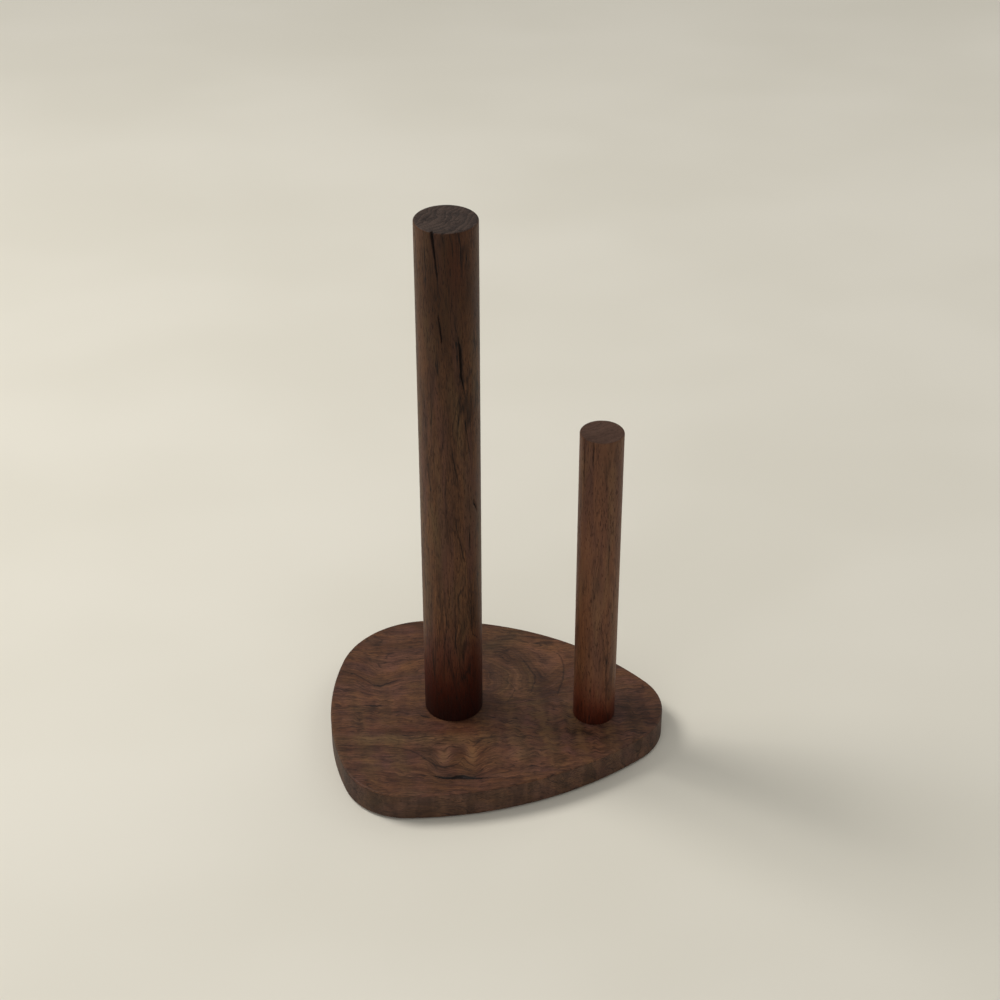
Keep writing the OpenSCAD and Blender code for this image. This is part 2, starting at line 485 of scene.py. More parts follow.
# All in millimetres from the tall post's foot. Lines drawn on the top face, as knots of (place along the
# grain, place across it, half width)
BASE_WAVY_LINE = [
    (-70, 29, 0), (-65, 29, 0.6), (-57, 26, 0.8), (-50, 20, 0.6), (-46, 16, 0.9), (-42, 15, 1.2),
    (-38, 17.5, 0.7), (-33, 20, 0.55), (-26, 20, 0.45), (-20, 19, 0.45), (-14, 18, 0),
]
BASE_TICKS = [
    (-53, -1.6, 0), (-49, -2, 0.7), (-44, -2.6, 1.0), (-41, -2, 0.6), (-38, -2, 0), (-20, -8, 0),
    (-18, -11, 0.7), (-14, -12.4, 0.9), (-11, -12.6, 0),
]
BASE_SWIRL_LINE = [
    (-67, -36, 0), (-62, -36, 0.6), (-50, -36.4, 0.5), (-40, -37, 0.55), (-30, -38, 0.6),
    (-24, -40, 0.7), (-19, -43, 0.7), (-14, -48, 0.7), (-9, -52.5, 1.0), (-4, -54.4, 1.2),
    (1, -53, 0.7), (4, -50, 0.5), (6, -46, 0.5), (8, -50, 0.5), (12, -53.5, 0.6), (17, -50, 0.5),
    (22, -45, 0.5), (32, -43, 0),
]
BASE_FISSURE = [
    (-12, -60.6, 0), (-8, -61.6, 0.6), (-4, -62.8, 0.9), (0, -62.8, 1.1), (3, -62.0, 1.5),
    (6, -62.0, 1.9), (9, -62.7, 1.3), (13, -63.0, 0.7), (18, -62.6, 0.5), (23, -62, 0),
]
# The same in degrees and millimetres round ARCH, the middle of the arched figure behind the posts
ARCH = (8.0, 20.0)
ARCH_LINES = [
    [
        (-60, 29, 0), (-45, 29, 0.4), (-32, 28.3, 0.6), (-17, 27.2, 0.6), (3, 20, 0.55),
        (37, 15, 0.5), (60, 14, 0),
    ],
    [
        (-25, 36, 0), (-18, 36.5, 0.4), (-5, 37.1, 0.7), (6, 38.2, 0.8), (16, 36.4, 0.8),
        (42, 36.1, 0.7), (68, 32.3, 0.6), (90, 31, 0),
    ],
    [
        (-20, 51, 0), (-14, 51.5, 0.5), (-5.5, 52.2, 0.8), (16.5, 56.3, 0.7), (25, 57.3, 0.6),
        (33, 53.5, 0.5), (44, 41.7, 0.5), (50, 38, 0),
    ],
]

# Soft areas, as (middle, reach along and across, turn in degrees, height)
RIPPLED_AREAS = [((60, -22), (27, 18), 0, 1.2), ((-50, -8), (14, 14), 0, 0.5)]
BENT_GRAIN = [
    ((-5, -51), (4.0, 9), 0, 7.0), ((11, -51), (4.2, 9), 0, 6.5), ((3, -57), (15, 9), 0, 7.0),
    ((-42, 18), (8, 12), 0, 7.0),
]
ARCHED_AREA = ((27, 27), (22, 18), 20)
SHIMMER_AREAS = [((-36, -46), (22, 14), 0, 0.5)]
RED_AREAS = [((-24, -24), (36, 2.6), 0, 0.25), ((-1, -21), (16, 6), 0, 0.22)]
OLIVE_AREAS = [
    ((-25, -31), (38, 3.2), 0, 0.5), ((28, 58), (16, 5), 45, 0.5), ((36, 24), (12, 18), 0, 0.35),
    ((-4.5, -45), (2.2, 5.5), 0, 0.5), ((10.8, -44.5), (2.4, 5.5), 0, 0.5),
]
FISSURE_SHADOW = [((5, -61.5), (12, 3.2), 0, 0.42)]
# Here the height is the change of shade, lighter or darker
BASE_PATCHES = [
    ((-4.5, -45.5), (2.1, 5.0), 0, 0.60), ((10.8, -45), (2.3, 5.0), 0, 0.50), ((-33, 33), (8, 6), 20, 0.14),
    ((-34, 57), (12, 8), 0, -0.12), ((51, 13), (4, 9), 15, -0.20), ((99, 2), (7, 8), 0, -0.20),
    ((19, -3), (5, 5), 0, -0.16), ((52, 50), (13, 5), -25, 0.14), ((27, 58), (3, 16), -45, -0.14),
    ((-20, -31), (40, 3), 0, 0.08), ((-6, -54), (5, 3), -20, -0.14), ((60, 38), (3, 12), 0, 0.10),
    ((50, 36), (8, 10), 0, 0.08), ((30, 34), (8, 8), 0, -0.06), ((85, 22), (10, 8), -30, 0.10),
    ((70, -36), (16, 12), 0, 0.10), ((48, -22), (14, 10), 0, 0.14), ((38, -8), (12, 8), 0, 0.08),
    ((30, 30), (22, 13), 0, -0.12), ((34.7, -47), (2.2, 5), 0, 0.20), ((50, -47), (2.4, 5), 0, 0.18),
    ((60, -40), (2.4, 4), 0, 0.16), ((43, -38), (1.6, 4), 0, -0.12), ((27, -44), (2.4, 6), 0, -0.10),
]
RIPPLE_LENGTH = 9.0
HUE_LENGTH = 17


def base_layers(g, at, rippled):
    """Where each point lies across the grain, in millimetres: without the arch, and with it."""
    x, y, z = at
    wander = g.grain(at, (55, 24, 30), 2.0, seed=3.0) - 0.5
    waves = g.grain(at, (13, 11, 20), 1.0, seed=8.0) - 0.5
    ripple = g.math("SINE", (x + waves * 16.0) * (TURN / RIPPLE_LENGTH)) * (rippled * 0.9 + 0.12)
    straight = y + z * 0.35 + wander * 17.0 + waves * 4.5 + ripple + g.areas(x, y, BENT_GRAIN)
    along, across = x - ARCH[0], (y - ARCH[1]) * 1.05
    loop = g.math("SQRT", along * along + across * across + z * z * 0.1)
    loop = loop + wander * 12.0 + waves * 7.0 + ripple * 0.4
    inside = g.ramp(g.hill(x, y, *ARCHED_AREA), 0.12, 0.6)
    return straight, straight + (loop - straight) * inside


def base_colour(g, at, layer, wood, rippled):
    """The top's colour: lighter and darker areas, then red, pink and olive ones over them."""
    x, y, z = at
    patch = g.grain(at, (7, 6, 9), 2.0, seed=7.0) - 0.5
    cross = g.math("SINE", (x + patch * 16 + y * 0.15) * (TURN / RIPPLE_LENGTH))
    cells = g.grain(at, (4.2, 5.5, 9), 1.0, seed=24.0) - 0.5
    shade = wood.shade + cross * (rippled * 0.09 + 0.02) + patch * 0.35 + cells * rippled * 0.5
    shade = shade + g.areas(x, y, BASE_PATCHES)
    tone = g.ramp(shade, 0.20, 0.85, 0.52, 1.52)
    hue = g.math("SINE", (x + patch * 15 + y * 0.2) * (TURN / HUE_LENGTH)) * 0.5 + 0.5
    shimmer = rippled * 0.5 + g.areas(x, y, SHIMMER_AREAS) + 0.12

    red = g.ramp(g.grain((x, layer, z), (40, 9, 14), 2.0, seed=12.0), 0.5, 0.75) * 0.30
    red = red + g.areas(x, y, RED_AREAS)
    pink = g.ramp(g.grain((x, layer, z), (26, 10, 14), 2.0, seed=20.0), 0.40, 0.66) * 0.52
    pink = pink + hue * shimmer * 0.6
    olive = g.ramp(g.grain((x, layer, z), (30, 8, 14), 2.0, seed=14.0), 0.52, 0.75) * 0.35
    olive = olive + g.areas(x, y, OLIVE_AREAS) + (1 - hue) * shimmer * 0.75
    colour = g.gradient(shade, WALNUT)
    colour = g.tint(colour, red, 0.85, RED)
    colour = g.tint(colour, pink, 0.8, g.scale(PINK, tone))
    colour = g.tint(colour, olive, 0.85, g.scale(OLIVE, tone))
    return g.scale(colour, 1.05)


def base_drawing(g, x, y, z):
    """The lines drawn on the top face, from 0 to 1."""
    jitter = (g.grain((x, y, 0.0), (2.2, 2.2, 1), 2.0, seed=18.0) - 0.5) * 1.6
    drawn = g.track(x, y + jitter, BASE_WAVY_LINE, 0.9) * 0.8
    drawn = drawn + g.track(x, y + jitter, BASE_SWIRL_LINE, 0.9) * 0.7
    drawn = drawn + g.track(x, y + jitter, BASE_TICKS, 0.7) * 0.9 + g.track(x, y, BASE_FISSURE, 0.5)
    along, across = x - ARCH[0], y - ARCH[1]
    turn = g.math("ARCTAN2", across, along) * math.degrees(1)
    out = g.math("SQRT", along * along + across * across) + jitter * 1.6
    for knots in ARCH_LINES:
        drawn = drawn + g.track(turn, out, knots, 0.9) * 0.62
    drawn = drawn + g.areas(x, y, FISSURE_SHADOW)
    return drawn * g.ramp(z, -3.0, -2.2)


def side_colour(g, at, colour):
    """Duller on the board's side, in upright bars, with painted shade that makes it darkest to the left of
    the front.
    """
    rim = g.ramp(g.facing(2), 0.5, 0.2)
    bars = g.grain(at, (5.5, 5.5, 22), 2.0, seed=16.0)
    # The second factor is painted shade: the side is darkened towards the left, where the key light falls
    # on it
    bars_and_painted_shade = g.ramp(bars, 0.33, 0.67, 0.66, 1.36) * g.ramp(at[0], -36, -16, 0.76, 1.02)
    grey = g.scale(g.mix(0.45, colour, SIDE_GREY), bars_and_painted_shade)
    return g.mix(rim * 0.8, colour, grey)


def base_material():
    """Walnut with its grain along the board, arched behind the posts and rippled at the front."""
    g = Graph("walnut_base")
    at = g.place((ROLL.x, ROLL.y, BASE_TOP))
    x, y, z = at
    rippled = g.areas(x, y, RIPPLED_AREAS)
    straight, layer = base_layers(g, at, rippled)
    wood = Figure(g, x, straight * 0.7 + y * 0.3, z, layer, 1.0)
    colour = side_colour(g, at, base_colour(g, at, layer, wood, rippled))
    ink = wood.lines * 0.95 + base_drawing(g, x, y, z)
    end = g.ramp(g.facing(0), 0.45, 0.95)
    return wood.surface(g, colour, ink, end, 0.22)


# ---- the posts' walnut

# Lines as knots of (millimetres above the board, degrees round from the front, half width in millimetres)
ROLL_CRACKS = [
    (0, 10, 0), (46, 9, 0), (53, 8, 0.3), (57, 6.6, 0.28), (64, 8.4, 0.25), (72, 6.8, 0.3),
    (80, 8, 0.22), (90, 7, 0.28), (98, 8.6, 0.18), (104, 9, 0), (106, 27, 0), (108, 26.5, 0.3),
    (122, 17.6, 0.35), (136, 8.6, 0.25), (140, 8, 0), (151, 19, 0), (154, 18.6, 0.25),
    (168, 10.5, 0.35), (181, 3.6, 0.25), (184, 3, 0), (238, -9, 0), (242, -9.6, 0.55),
    (249, -12, 0.5), (254, -14.2, 0.4), (258, -14.5, 0.15), (274, -14.6, 0.25), (278, -15.5, 0.4),
    (288, -19.5, 0.6), (297, -23.4, 0.9), (300.5, -24.6, 1.0),
]
ROLL_VEINS = [
    (0, 40, 0), (52, 59, 0), (53, 58, 0.35), (57, 46, 0.35), (60, 42, 0.3), (78, 41, 0.35),
    (95, 40.7, 0.25), (98, 40, 0), (111, 38.7, 0), (117, 38.7, 0.45), (125, 39.2, 0.5),
    (132, 39.2, 0), (135, 58, 0), (138, 58, 0.5), (142, 51, 0.6), (147, 46, 0), (169, 43, 0),
    (172, 42, 0.3), (183, 37, 0.35), (195, 30.7, 0.3), (198, 30.7, 0), (206, 32, 0),
    (210, 31, 0.28), (220, 25.7, 0.75), (230, 24.4, 0.85), (237, 23.7, 0.7), (244, 19, 0.28),
    (251, 13.7, 0.25), (254, 12, 0), (300.5, 12, 0),
]
ROLL_STRIPES = [
    [
        (0, -27, 0), (2.5, -27, 0.6), (11, -34.3, 0.7), (24.5, -34, 0.7), (35.6, -40.8, 0.6),
        (47, -44.7, 0.4), (53, -43.5, 0.4), (80, -46.4, 0.4), (92, -47, 0),
    ],
    [
        (0, 14, 0), (5.8, 13.7, 0.6), (18, 7.4, 0.7), (35, -2, 0.7), (52.5, -15.3, 0.5),
        (64, -17.4, 0.4), (77, -17, 0.35), (100, -15, 0),
    ],
    [
        (0, 48, 0), (2.4, 48, 0.6), (10, 40.9, 0.8), (25, 29, 0.7), (34, 20.2, 0.5), (48, 13.9, 0.4),
        (56, 10, 0),
    ],
    [
        (50, -24, 0), (56, -24.2, 0.4), (76, -27.2, 0.4), (89, -28.4, 0.4), (100, -29, 0),
    ],
]
GUIDE_VEINS = [
    (0, 28, 0), (18, 29.7, 0), (22, 29.7, 0.4), (40, 29.7, 0.5), (60, 29.7, 0.4), (63, 29, 0),
    (72, 25.7, 0), (75, 25.7, 0.6), (78, 25.7, 0), (88, 15, 0), (92, 14.7, 0.35), (96, 15, 0),
    (99, 24.7, 0), (102, 24.7, 0.45), (120, 24.7, 0.5), (124, 24.7, 0), (138, -11, 0),
    (141, -10, 0.2), (150, 10, 0.25), (156, 20, 0.2), (158, 20, 0), (184.5, 20, 0),
]
GUIDE_LINES = [
    (0, -24, 0), (156, -53, 0), (161, -52.3, 0.4), (179, -52.3, 0.4), (184.5, -52.3, 0.3),
]
GUIDE_SECOND_LINE = [
    (0, -24, 0), (166, -24.3, 0), (171, -24.3, 0.4), (182, -24.3, 0.4), (184.5, -24.3, 0.3),
]

# What is different in the two posts' wood. Places are (height, millimetres round from the front).
ROLL_LOOK = SimpleNamespace(
    seed=21.0,
    tilt=-30,  # the direction in degrees in which the growth rings follow each other across the end
    cracks=[ROLL_CRACKS, ROLL_VEINS],  # lines that are cut into the mesh where they are wide
    veins=[],  # lines that are only drawn
    stripes=ROLL_STRIPES,  # softer, wider lines
    crisp=1.0,  # how strong the lines are
    patches=[  # (place, reach, turn, change of shade)
        ((258, -1), (30, 8), 0, -0.34), ((296, -1), (16, 6), 0, -0.30), ((165, -1), (55, 5), 0, -0.10),
        ((60, 4), (30, 6), 0, 0.03),
    ],
    # (place, reach, amount, colour)
    tints=[((268, 0), (30, 15), 0.74, UMBER), ((286, 6), (12, 4), 0.35, RED)],
    cast=(0.080, 0.043, 0.020),  # a colour mixed into the whole post
    cast_amount=0.20,
    brightness=1.22,
    painted_red_foot=(16.0, 74.0),  # the heights between which the foot's painted reddish bounce light ends, and then its painted shade
    painted_shade_foot=(-6.0, 66.0),
    painted_shade_strength=0.82,
    end_brown=0.0,  # how much brown is in the end grain
)
GUIDE_LOOK = SimpleNamespace(
    seed=47.0,
    tilt=-55,
    cracks=[GUIDE_LINES, GUIDE_SECOND_LINE],
    veins=[GUIDE_VEINS],
    stripes=[],
    crisp=0.35,
    patches=[
        ((120, -3), (50, 5), 0, 0.06), ((88, 5), (46, 1.6), 1.5, -0.16), ((182, 0), (34, 14), 0, -0.44),
    ],
    tints=[((42, -9), (40, 3.6), 0.55, WARM)],
    cast=(0.118, 0.052, 0.028),
    cast_amount=0.40,
    brightness=1.85,
    painted_red_foot=(-4.0, 42.0),
    painted_shade_foot=(-8.0, 16.0),
    painted_shade_strength=0.50,
    end_brown=0.55,
)


def post_colour(g, at, front, wood, uneven, look):
    """The side's colour: its areas, the whole post's cast, and the foot's painted reddish bounce light and
    painted shade.
    """
    z = at[2]
    streak = g.ramp(g.grain(at, (2.6, 2.6, 90), 3.0, 0.6, seed=look.seed + 9), 0.52, 0.70)
    shade = wood.shade - streak * 0.20 + g.areas(z, front, look.patches)
    olive = g.grain(at, (7, 7, 50), 2.0, seed=look.seed + 10)
    pink = g.grain(at, (7, 7, 60), 2.0, seed=look.seed + 14)
    colour = g.gradient(shade, WALNUT)
    colour = g.mix(g.ramp(olive, 0.45, 0.66) * 0.68, colour, OLIVE)
    colour = g.scale(g.mix(look.cast_amount, colour, look.cast), look.brightness)
    colour = g.mix(g.ramp(pink, 0.45, 0.66) * 0.55, colour, PINK)
    for place, reach, amount, hue in look.tints:
        colour = g.mix(g.hill(z, front, place, reach) * amount, colour, hue)
    # Painted reddish bounce light and painted shade at the foot, where the post stands on the board
    red = g.ramp(z + uneven, *look.painted_red_foot, 1.0, 0.0)
    dark = g.ramp(z + uneven, *look.painted_shade_foot, 1.0, 0.0)
    return g.scale(g.mix(red * 0.92, colour, PAINTED_FOOT_RED), 1 - dark * look.painted_shade_strength)


def post_drawing(g, at, front, size, look):
    """The lines drawn on the side, each crack and vein in a wider stain, and short slanting flecks."""
    x, y, z = at
    jitter = (g.grain(at, (1.6, 1.6, 5), 2.0, seed=look.seed + 13) - 0.5) * 1.3
    drawn = 0.0
    for knots in look.stripes:
        drawn = drawn + g.track(z, front + jitter, unrolled(knots, size), 1.3) * 0.5
    for knots in look.veins + look.cracks:
        line = unrolled(knots, size)
        stain = [(k[0], k[1], k[2] * 1.8) for k in line]
        drawn = drawn + g.track(z, front + jitter, line, 0.55) * (0.85 * look.crisp)
        drawn = drawn + g.track(z, front + jitter * 2.0, stain, 1.8) * 0.45
    drawn = drawn * g.ramp(g.facing(2), 0.9, 0.6)
    flecks = g.grain((z, x + z * 0.07, y), (5.5, 0.62, 0.62), 1.0, seed=look.seed + 15)
    crowd = g.grain(at, (8, 8, 30), 1.0, seed=look.seed + 16)
    crowded = g.ramp(crowd, 0.35, 0.62, 0.25, 1.0)
    return drawn + g.ramp(flecks, 0.56, 0.68) * crowded * (0.62 * look.crisp)


def end_colour(g, at, layer, wood, look):
    """The end grain on the post's top: growth rings and open pores."""
    x, y, _ = at
    dots = g.grain((x, y, 0.0), (0.42, 0.42, 1), 2.0, 0.6, seed=look.seed + 11)
    ring = growth(g, layer, END_RING_SPACING, look.seed + 12)
    shade = 0.54 + (dots - 0.5) * 0.6 + (ring - 0.5) * -0.42 + (wood.cloud - 0.5) * 1.0
    return g.mix(look.end_brown, g.gradient(shade, END_GRAIN), END_BROWN)


def post_material(node, look):
    """Walnut with its grain along the post."""
    g = Graph("walnut_" + node)
    post, size = centre(node), radius(node) / MM
    at = g.place((post.x, post.y, BASE_TOP))
    x, y, z = at
    front = g.math("ARCTAN2", x, y * -1.0) * size
    c, s = math.cos(math.radians(look.tilt)), math.sin(math.radians(look.tilt))
    across, beside = x * c + y * s, y * c - x * s
    wander = g.grain(at, (20, 20, 75), 2.0, seed=look.seed) - 0.5
    waves = g.grain(at, (9, 9, 24), 1.0, seed=look.seed + 1) - 0.5
    layer = across + beside * beside * 0.012 + wander * 15.0 + waves * 2.6
    wood = Figure(g, z, x, y, layer, look.seed + 2, straight=2.2)
    uneven = (wander + waves) * 16.0 + (wood.fibre - 0.5) * 18.0

    colour = post_colour(g, at, front, wood, uneven, look)
    ink = wood.lines * (0.45 + 0.55 * look.crisp) + post_drawing(g, at, front, size, look)
    end = g.ramp(g.facing(2), 0.55, 0.9)
    colour = g.mix(end, colour, end_colour(g, at, layer, wood, look))
    return wood.surface(g, colour, ink, end, 0.18)


# ---- other materials

ORIGIN = (0, 0, 0)
STEEL = [(0.50, 0.51, 0.53), (0.66, 0.67, 0.68)]
BRASS = [(0.78, 0.58, 0.27), (0.48, 0.32, 0.15)]
BEECH = [(0.2, (0.42, 0.26, 0.14)), (0.5, (0.64, 0.46, 0.29)), (0.8, (0.74, 0.57, 0.39))]
BEECH_FLECK = (0.36, 0.20, 0.10)
RUBBER = [(0.020, 0.020, 0.021), (0.060, 0.057, 0.053)]
TABLE = [(0.70, 0.672, 0.585), (0.74, 0.712, 0.628)]


def steel_material():
    """Zinc plated steel, brushed round, a little cloudy."""
    g = Graph("screw_steel")
    at = g.place(ORIGIN)
    brushed = g.grain(at, (0.5, 0.5, 0.05), 3.0, 0.6, seed=1.0)
    cloud = g.grain(at, (3, 3, 3), 2.0, seed=2.0)
    colour = g.mix(g.ramp(cloud, 0.3, 0.7), *STEEL)
    rough = 0.30 + brushed * 0.16
    normal = g.bump(brushed, 0.01 * MM, 0.5)
    return g.finish(Base_Color=colour, Metallic=1.0, Roughness=rough, Normal=normal)


def brass_material():
    """Turned brass with darker stains."""
    g = Graph("insert_brass")
    at = g.place(ORIGIN)
    turned = g.grain(at, (2, 2, 0.06), 3.0, 0.6, seed=4.0)
    stain = g.ramp(g.grain(at, (2.5, 2.5, 2.5), 3.0, seed=5.0), 0.45, 0.8)
    colour = g.mix(stain * 0.6, *BRASS)
    rough = 0.26 + turned * 0.16
    normal = g.bump(turned, 0.012 * MM, 0.5)
    return g.finish(Base_Color=colour, Metallic=1.0, Roughness=rough, Normal=normal)


def beech_material():
    """Raw beech with its short dark flecks."""
    g = Graph("dowel_beech")
    at = g.place(ORIGIN)
    fibre = g.grain(at, (0.3, 0.3, 6), 4.0, 0.6, seed=6.0)
    fleck = g.ramp(g.grain(at, (0.35, 0.35, 1.6), 1.0, seed=7.0), 0.6, 0.7)
    colour = g.mix(fleck * 0.6, g.gradient(fibre, BEECH), BEECH_FLECK)
    normal = g.bump(fibre, 0.05 * MM, 0.7)
    return g.finish(Base_Color=colour, Roughness=0.72, Normal=normal)


def rubber_material():
    """Matt black rubber with some dust on it."""
    g = Graph("foot_rubber")
    at = g.place(ORIGIN)
    grain = g.grain(at, (0.18, 0.18, 0.18), 3.0, 0.6, seed=8.0)
    dust = g.ramp(g.grain(at, (3.5, 3.5, 3.5), 3.0, 0.6, seed=9.0), 0.45, 0.75)
    colour = g.mix(dust * 0.35, *RUBBER)
    rough = 0.62 + grain * 0.2
    normal = g.bump(grain, 0.04 * MM, 0.8)
    return g.finish(Base_Color=colour, Roughness=rough, Specular_IOR_Level=0.4, Normal=normal)


def table_material():
    """A pale worktop, faintly uneven in colour."""
    g = Graph("table")
    x, y, _ = g.place(ORIGIN)
    cloud = g.grain((x, y, 0.0), (260, 180, 1), 2.0, seed=1.0)
    grain = g.grain((x, y, 0.0), (0.7, 0.7, 1), 2.0, seed=2.0)
    colour = g.mix(g.ramp(cloud, 0.3, 0.7), *TABLE)
    rough = 0.66 + grain * 0.1
    normal = g.bump(grain, 0.03 * MM, 0.35)
    return g.finish(Base_Color=colour, Roughness=rough, Normal=normal)


# ---- base

# Open lines are cut this steeply where their half width, in millimetres, is more than OPEN_FROM
OPEN_FROM = 0.3
FISSURE_SLOPE, FISSURE_DEPTH = 1.3, 1.2
CRACK_SLOPE, CRACK_DEPTH = 1.15, 1.0


def outline(angles):
    """How far the board reaches from the frame's axis at each angle, from its own CAD outline."""
    points = np.array([v.co[:2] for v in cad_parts["base"].data.vertices])
    ring = points[convex_hull_2d(points.tolist())]
    at = np.arctan2(ring[:, 1], ring[:, 0]) % TURN
    order = np.argsort(at)
    at, reach = at[order], np.hypot(*ring[order].T)
    apart = np.append(True, np.diff(at) > 1e-5)
    at, reach = at[apart], reach[apart]
    at = np.concatenate([at[-3:] - TURN, at, at[:3] + TURN])
    reach = np.concatenate([reach[-3:], reach, reach[:3]])
    slope = np.gradient(reach, at)
    spot = np.clip(np.searchsorted(at, angles % TURN) - 1, 0, len(at) - 2)
    step = at[spot + 1] - at[spot]
    t = (angles % TURN - at[spot]) / step
    first = (1 + 2 * t) * (1 - t) ** 2 * reach[spot] + t * (1 - t) ** 2 * step * slope[spot]
    second = t * t * (3 - 2 * t) * reach[spot + 1] + t * t * (t - 1) * step * slope[spot + 1]
    return first + second


def spaced(start, end, dense_start, dense_end, coarse, dense):
    """Places from start to end, closer together between dense_start and dense_end."""
    parts = [(start, dense_start, coarse), (dense_start, dense_end, dense), (dense_end, end, coarse)]
    runs = [np.linspace(a, b, max(2, round((b - a) / s) + 1))[:-1] for a, b, s in parts]
    return np.append(np.concatenate(runs), end)


def on_knots(knots, along, column):
    """A column of the knots, read off straight lines between them."""
    return np.interp(along, [k[0] for k in knots], [k[column] for k in knots], left=0, right=0)


def groove(knots, along, across, slope):
    """How deep a crack is at points given along and across the grain, all in millimetres."""
    half = on_knots(knots, along, 2)
    off = np.abs(across - on_knots(knots, along, 1))
    return np.clip(half - off, 0, None) * slope * (half > OPEN_FROM)


BASE_EDGE = 1.0 * MM
# Where the fissure is, as angles round the frame's axis and as fractions of the board's reach: the skin's
# columns and rows stand closer there. Inside TOP_FROM, which clears every hole, the top is level.
FISSURE_ANGLES = math.radians(241), math.radians(267)
FISSURE_FRACTIONS = 0.77, 0.90
TOP_FROM = 0.74
COLUMN_STEPS = math.radians(1.15), math.radians(0.3)
ROW_STEPS = 0.05, 0.0055


def base_rows():
    """The board's skin from its top face, over the eased rim and down the side, to its underside."""
    angles = spaced(0, TURN, *FISSURE_ANGLES, *COLUMN_STEPS)[:-1]
    reach = outline(angles)
    rim = np.stack([reach * np.cos(angles), reach * np.sin(angles)], -1)
    along = np.roll(rim, -1, 0) - np.roll(rim, 1, 0)
    inward = np.stack([-along[:, 1], along[:, 0]], -1) / np.hypot(*along.T)[:, None]

    def ring(inset, z, fraction=1.0):
        flat = (rim + inward * inset) * fraction
        return np.column_stack([flat, np.full(len(flat), z)])

    fractions = spaced(TOP_FROM, 1.0, *FISSURE_FRACTIONS, *ROW_STEPS)
    rows = [ring(BASE_EDGE, BASE_TOP, f) for f in fractions]
    for a in arc(7, 15, 90):
        inset, drop = BASE_EDGE * (1 - math.sin(a)), BASE_EDGE * (1 - math.cos(a))
        rows.append(ring(inset, BASE_TOP - drop))
    for z in np.linspace(BASE_TOP - BASE_EDGE, BASE_LOW.z + BASE_EDGE, 9)[1:]:
        rows.append(ring(0, z))
    for a in arc(7, 75, 0):
        inset, rise = BASE_EDGE * (1 - math.sin(a)), BASE_EDGE * (1 - math.cos(a))
        rows.append(ring(inset, BASE_LOW.z + rise))
    rows = np.array(rows)
    top = rows[: len(fractions)]
    x, y = (top[..., 0] - ROLL.x) / MM, (top[..., 1] - ROLL.y) / MM
    top[..., 2] -= np.minimum(groove(BASE_FISSURE, x, y, FISSURE_SLOPE), FISSURE_DEPTH) * MM
    return rows


# Radii of the recess for each screw's head and of its clearance hole
SCREW_HOLES = {"roll_post_screw": (6.3 * MM, 3.3 * MM), "guide_post_screw": (5.3 * MM, 2.8 * MM)}
SEAT_DROP = 0.3 * MM
DOWEL_GAP = 0.5 * MM
FOOT_GAP = 0.2 * MM


def base():
    """The board, with the screws' seats and clearance holes, the dowels' holes and the feet's recesses."""
    shell = Shell()
    rows = base_rows()
    shell.skin(rows)
    above, below = [], []
    for screw, (head, shank) in SCREW_HOLES.items():
        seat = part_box(screw)[0].z + SEAT_DROP
        profile = [(head, BASE_LOW.z), (head, seat), (shank, seat + head - shank), (shank, BASE_TOP)]
        inside = hole(shell, centre(screw), profile, open_end=True)
        below.append(inside[0])
        above.append(inside[-1])
    for dowel in ("roll_post_dowel", "guide_post_dowel"):
        r, deep = radius(dowel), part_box(dowel)[0].z - DOWEL_GAP
        above.append(hole(shell, centre(dowel), [(r, BASE_TOP), (r, deep)])[0])
    for node in FEET:
        r, deep = radius(node) + FOOT_GAP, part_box(node)[1].z
        below.append(hole(shell, centre(node), [(r, BASE_LOW.z), (r, deep)])[0])
    shell.level(rows[0], above)
    shell.level(rows[-1], below)
    return shell.make("walnut_base_board")


# ---- posts


FOOT_EDGE = 0.35 * MM
BORE_SPACE = 3.5 * MM
BORE_CHAMFER = 0.5 * MM
# The tall post's rows stand closer together between these heights above the board, in metres
CRACKED_FROM, CRACKED_TO = 302 * MM, 200 * MM


def post_angles(coarse, dense, first, last):
    """Angles round a post, closer together over the part of its front with cracks, all from degrees."""
    places = spaced(0, 360, 180 + first, 180 + last, coarse, dense)[:-1]
    return FRONT + np.radians(places - 180)


def post(node, cracks, angles, heights, edge):
    """A post with eased ends, open cracks, and a bore and a pin hole in its foot."""
    at, r = centre(node), radius(node)
    low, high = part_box(node)
    front = (angles - FRONT) * (r / MM)

    def depth(z):
        above = np.full_like(front, (z - BASE_TOP) / MM)
        cut = 0.0
        for knots in cracks:
            cut = cut + groove(unrolled(knots, r / MM), above, front, CRACK_SLOPE)
        return np.minimum(cut, CRACK_DEPTH) * MM

    top_cut = 1 - depth(high.z) / r
    profile = [(r * f * top_cut, high.z) for f in (0.7, 0.85)]
    for a in arc(6, 0, 90):
        wide = r - edge * (1 - math.sin(a))
        profile.append((wide * top_cut, high.z - edge * (1 - math.cos(a))))
    for z in heights:
        profile.append((r - depth(z), z))
    for a in arc(4, 0, 90):
        profile.append((r - FOOT_EDGE * (1 - math.cos(a)), low.z + FOOT_EDGE * (1 - math.sin(a))))
    shell = Shell()
    rows = lathe(profile, angles, at)
    shell.skin(rows)
    shell.level(rows[0])
    bore, deep = radius(node + "_insert"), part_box(node + "_insert")[1].z + BORE_SPACE
    bore_profile = [(bore, low.z), (bore, deep - BORE_CHAMFER), (bore - BORE_CHAMFER, deep)]
    pin, end = radius(node + "_dowel"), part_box(node + "_dowel")[1].z + DOWEL_GAP
    bore_rows = hole(shell, at, bore_profile)
    pin_rows = hole(shell, centre(node + "_dowel"), [(pin, low.z), (pin, end)])
    shell.level(rows[-1], [bore_rows[0], pin_rows[0]])
    return shell.make("walnut_" + node)


